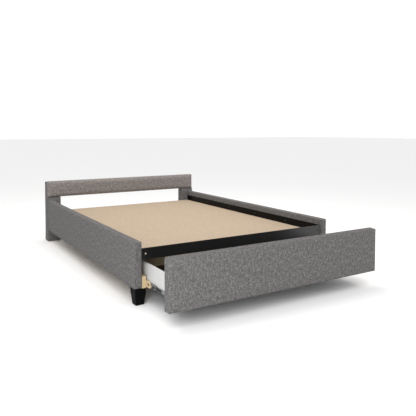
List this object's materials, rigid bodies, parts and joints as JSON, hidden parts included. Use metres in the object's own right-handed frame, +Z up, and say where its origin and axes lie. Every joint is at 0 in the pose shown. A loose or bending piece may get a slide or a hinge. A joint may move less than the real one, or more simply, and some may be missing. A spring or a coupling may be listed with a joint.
{
  "type": "platform bed with storage drawer",
  "caption": "Low upholstered platform bed with a bare board deck in a black steel rim and a full-width storage drawer drawn out at the foot.",
  "frame": {"origin": "on the floor, under the middle of the box of the bed with its drawer drawn out as stored", "axes": "+X across the width, +Y from the foot to the head, +Z up"},
  "size_m": [1.686, 2.647, 0.602],
  "materials": {
    "fabric": "heather grey woven upholstery",
    "core_wood": "raw timber",
    "particleboard": "raw speckled particleboard",
    "pine": "planed pine",
    "white_board": "white laminate",
    "tan_board": "raw fibreboard",
    "black_board": "black laminate",
    "black_steel": "satin black powder coat",
    "zinc_steel": "zinc plated",
    "bolt_steel": "black zinc",
    "ball_steel": "polished",
    "leg_plastic": "black satin",
    "tan_nylon": "natural nylon",
    "black_nylon": "moulded",
    "felt": "foam tape"
  },
  "bodies": {
    "bed_frame": {"batten_screws": "zinc_steel", "centre_beam": "black_steel", "centre_leg_1": "black_steel", "centre_leg_2": "black_steel", "centre_leg_3": "black_steel", "centre_leg_feet": "black_nylon", "cross_member_set_left": "black_steel", "cross_member_set_right": "black_steel", "deck_panel": "particleboard", "deck_tape": "felt", "foot_steel_rail": "black_steel", "frame_bolts": "bolt_steel", "front_leg_left": "leg_plastic", "front_leg_right": "leg_plastic", "head_steel_rail": "black_steel", "headboard_bar_bolts": "bolt_steel", "headboard_bar_core": "core_wood", "headboard_bar_cover": "fabric", "headboard_post_core_left": "core_wood", "headboard_post_core_right": "core_wood", "headboard_post_cover_left": "fabric", "headboard_post_cover_right": "fabric", "leg_studs": "zinc_steel", "post_glides": "black_nylon", "rail_bracket_left": "black_steel", "rail_bracket_right": "black_steel", "runner_batten_left": "pine", "runner_batten_right": "pine", "side_rail_core_left": "core_wood", "side_rail_core_right": "core_wood", "side_rail_cover_left": "fabric", "side_rail_cover_right": "fabric", "side_steel_rail_left": "black_steel", "side_steel_rail_right": "black_steel", "slide_cabinet_member_left": "zinc_steel", "slide_cabinet_member_right": "zinc_steel"},
    "drawer": {"drawer_front_cover": "fabric", "drawer_front_core": "core_wood", "drawer_front_bolts": "bolt_steel", "drawer_box_front": "white_board", "drawer_side_left": "white_board", "drawer_side_right": "white_board", "drawer_back": "tan_board", "drawer_bottom": "black_board", "slide_drawer_member_left": "zinc_steel", "slide_drawer_member_right": "zinc_steel", "drawer_side_screws": "zinc_steel"},
    "slide_middle_left": {"slide_middle_member_left": "zinc_steel"},
    "outer_cage_left": {"slide_outer_cage_left": "tan_nylon", "slide_outer_balls_left": "ball_steel"},
    "inner_cage_left": {"slide_inner_cage_left": "tan_nylon", "slide_inner_balls_left": "ball_steel"},
    "slide_middle_right": {"slide_middle_member_right": "zinc_steel"},
    "outer_cage_right": {"slide_outer_cage_right": "tan_nylon", "slide_outer_balls_right": "ball_steel"},
    "inner_cage_right": {"slide_inner_cage_right": "tan_nylon", "slide_inner_balls_right": "ball_steel"},
    "lever_left": {"release_lever_left": "black_nylon"},
    "lever_right": {"release_lever_right": "black_nylon"}
  },
  "joints": [
    {"name": "drawer_slide", "type": "slide", "parent": "bed_frame", "child": "drawer", "axis": [0, -1, 0], "range_m": [-0.416, 0.144]},
    {"name": "slide_middle_left_slide", "type": "slide", "parent": "bed_frame", "child": "slide_middle_left", "axis": [0, -1, 0], "range_m": [-0.12916, 0.04484]},
    {"name": "outer_cage_left_slide", "type": "slide", "parent": "bed_frame", "child": "outer_cage_left", "axis": [0, -1, 0], "range_m": [-0.06468, 0.02252]},
    {"name": "inner_cage_left_slide", "type": "slide", "parent": "bed_frame", "child": "inner_cage_left", "axis": [0, -1, 0], "range_m": [-0.27268, 0.09452]},
    {"name": "slide_middle_right_slide", "type": "slide", "parent": "bed_frame", "child": "slide_middle_right", "axis": [0, -1, 0], "range_m": [-0.12916, 0.04484]},
    {"name": "outer_cage_right_slide", "type": "slide", "parent": "bed_frame", "child": "outer_cage_right", "axis": [0, -1, 0], "range_m": [-0.06468, 0.02252]},
    {"name": "inner_cage_right_slide", "type": "slide", "parent": "bed_frame", "child": "inner_cage_right", "axis": [0, -1, 0], "range_m": [-0.27268, 0.09452]},
    {"name": "release_lever_left_rock", "type": "hinge", "parent": "drawer", "child": "lever_left", "pos_m": [-0.7423, -0.9885, 0.137], "axis": [1, 0, 0], "range_deg": [-4, 4], "stiffness_Nm_per_rad": 0.05},
    {"name": "release_lever_right_rock", "type": "hinge", "parent": "drawer", "child": "lever_right", "pos_m": [0.7423, -0.9885, 0.137], "axis": [1, 0, 0], "range_deg": [-4, 4], "stiffness_Nm_per_rad": 0.05}
  ],
  "couplings": [
    {"joint": "slide_middle_left_slide", "follows": "drawer_slide", "ratio": 0.31},
    {"joint": "outer_cage_left_slide", "follows": "drawer_slide", "ratio": 0.155},
    {"joint": "inner_cage_left_slide", "follows": "drawer_slide", "ratio": 0.655},
    {"joint": "slide_middle_right_slide", "follows": "drawer_slide", "ratio": 0.31},
    {"joint": "outer_cage_right_slide", "follows": "drawer_slide", "ratio": 0.155},
    {"joint": "inner_cage_right_slide", "follows": "drawer_slide", "ratio": 0.655}
  ]
}
